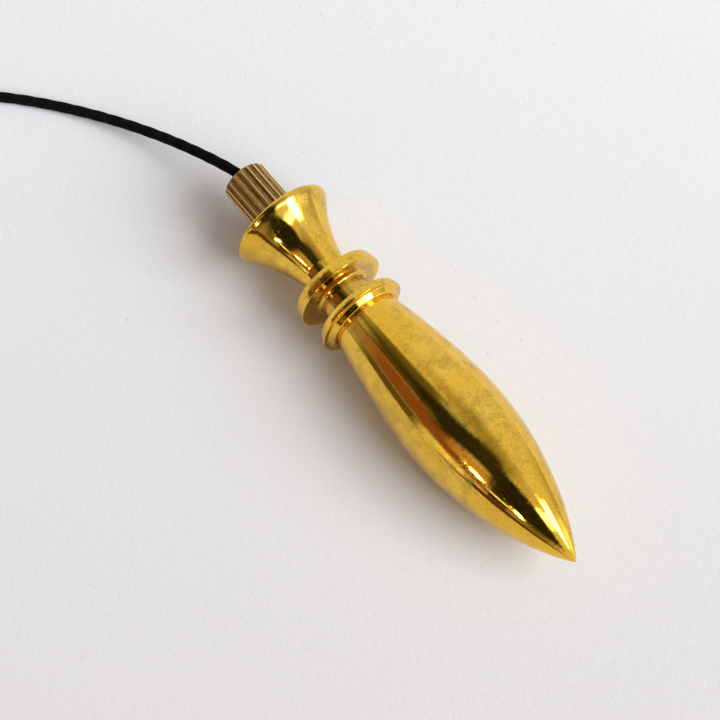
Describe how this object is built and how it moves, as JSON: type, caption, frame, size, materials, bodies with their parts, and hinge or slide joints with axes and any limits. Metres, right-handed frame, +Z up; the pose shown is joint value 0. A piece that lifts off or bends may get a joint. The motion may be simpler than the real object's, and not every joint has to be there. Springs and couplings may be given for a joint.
{
  "type": "plumb bob",
  "caption": "Turned brass plumb bob with a flared collar, two rings and a pointed spindle, a knurled screw cap, and a braided black cord held by a knot inside the collar.",
  "frame": {"origin": "the point of the bob, on the bob's axis", "axes": "+X along the bob's axis, out of the point; the cap and cord are towards -X; +Z up, away from the surface that the bob lies on; the cord curves away towards -Y"},
  "size_m": [0.1554, 0.0465, 0.0198],
  "materials": {
    "polished_brass": "polished, with fine tarnish specks and dull smudges",
    "aged_brass": "satin, browned in the flutes and rubbed bright on the ribs",
    "cord": "waxed black braid, slightly fuzzy"
  },
  "bodies": {
    "bob": {"bob_body": "polished_brass"},
    "cord_anchor": {"stopper_knot": "cord", "cord_stub": "cord"},
    "cap": {"knurled_cap": "aged_brass"},
    "cord_1": {"cord_link_1": "cord"},
    "cord_2": {"cord_link_2": "cord"},
    "cord_3": {"cord_link_3": "cord"},
    "cord_4": {"cord_link_4": "cord"},
    "cord_5": {"cord_link_5": "cord"},
    "cord_6": {"cord_link_6": "cord"},
    "cord_7": {"cord_link_7": "cord"},
    "cord_8": {"cord_link_8": "cord"},
    "cord_9": {"cord_link_9": "cord"},
    "cord_10": {"cord_link_10": "cord"},
    "cord_end": {"cord_tail": "cord"}
  },
  "joints": [
    {"name": "cap_rise", "type": "slide", "parent": "bob", "child": "cord_anchor", "axis": [-1, 0, 0], "range_m": [0, 0.0055]},
    {"name": "cap_turn", "type": "hinge", "parent": "cord_anchor", "child": "cap", "pos_m": [-0.09655, 0, 0], "axis": [-1, 0, 0], "range_deg": [0, 1980]},
    {"name": "cord_swivel", "type": "hinge", "parent": "cord_anchor", "child": "cord_1", "pos_m": [-0.09805, 0, 0], "axis": [-1, 0, 0], "continuous": true},
    {"name": "cord_side_bend_1", "type": "hinge", "parent": "cord_1", "child": "cord_2", "pos_m": [-0.10358, -0.00103, -0.00209], "axis": [0, 0, 1], "range_deg": [-28, 28], "stiffness_Nm_per_rad": 0.0002},
    {"name": "cord_lift_1", "type": "hinge", "parent": "cord_2", "child": "cord_3", "pos_m": [-0.10912, -0.00247, -0.00389], "axis": [-0.2865, 0.9581, 0], "range_deg": [0, 26], "stiffness_Nm_per_rad": 0.0002},
    {"name": "cord_side_bend_2", "type": "hinge", "parent": "cord_3", "child": "cord_4", "pos_m": [-0.11461, -0.00433, -0.00542], "axis": [0, 0, 1], "range_deg": [-28, 28], "stiffness_Nm_per_rad": 0.0002},
    {"name": "cord_lift_2", "type": "hinge", "parent": "cord_4", "child": "cord_5", "pos_m": [-0.12002, -0.0066, -0.00668], "axis": [-0.4202, 0.9074, 0], "range_deg": [0, 26], "stiffness_Nm_per_rad": 0.0002},
    {"name": "cord_side_bend_3", "type": "hinge", "parent": "cord_5", "child": "cord_6", "pos_m": [-0.1253, -0.00928, -0.00765], "axis": [0, 0, 1], "range_deg": [-28, 28], "stiffness_Nm_per_rad": 0.0002},
    {"name": "cord_lift_3", "type": "hinge", "parent": "cord_6", "child": "cord_7", "pos_m": [-0.13041, -0.01235, -0.00834], "axis": [-0.5454, 0.8382, 0], "range_deg": [0, 26], "stiffness_Nm_per_rad": 0.0002},
    {"name": "cord_side_bend_4", "type": "hinge", "parent": "cord_7", "child": "cord_8", "pos_m": [-0.13531, -0.01579, -0.00876], "axis": [0, 0, 1], "range_deg": [-28, 28], "stiffness_Nm_per_rad": 0.0002},
    {"name": "cord_lift_4", "type": "hinge", "parent": "cord_8", "child": "cord_9", "pos_m": [-0.13996, -0.01958, -0.0089], "axis": [-0.6593, 0.7518, 0], "range_deg": [0, 26], "stiffness_Nm_per_rad": 0.0002},
    {"name": "cord_side_bend_5", "type": "hinge", "parent": "cord_9", "child": "cord_10", "pos_m": [-0.14432, -0.0237, -0.0089], "axis": [0, 0, 1], "range_deg": [-28, 28], "stiffness_Nm_per_rad": 0.0002},
    {"name": "cord_lift_5", "type": "hinge", "parent": "cord_10", "child": "cord_end", "pos_m": [-0.14838, -0.02811, -0.0089], "axis": [-0.7598, 0.6501, 0], "range_deg": [0, 26], "stiffness_Nm_per_rad": 0.0002}
  ],
  "couplings": [
    {"joint": "cap_turn", "follows": "cap_rise", "rad_per_m": 6283.2},
    {"joint": "cord_side_bend_2", "follows": "cord_side_bend_1", "ratio": 1},
    {"joint": "cord_side_bend_3", "follows": "cord_side_bend_1", "ratio": 1},
    {"joint": "cord_side_bend_4", "follows": "cord_side_bend_1", "ratio": 1},
    {"joint": "cord_side_bend_5", "follows": "cord_side_bend_1", "ratio": 1},
    {"joint": "cord_lift_2", "follows": "cord_lift_1", "ratio": 1},
    {"joint": "cord_lift_3", "follows": "cord_lift_1", "ratio": 1},
    {"joint": "cord_lift_4", "follows": "cord_lift_1", "ratio": 1},
    {"joint": "cord_lift_5", "follows": "cord_lift_1", "ratio": 1}
  ]
}
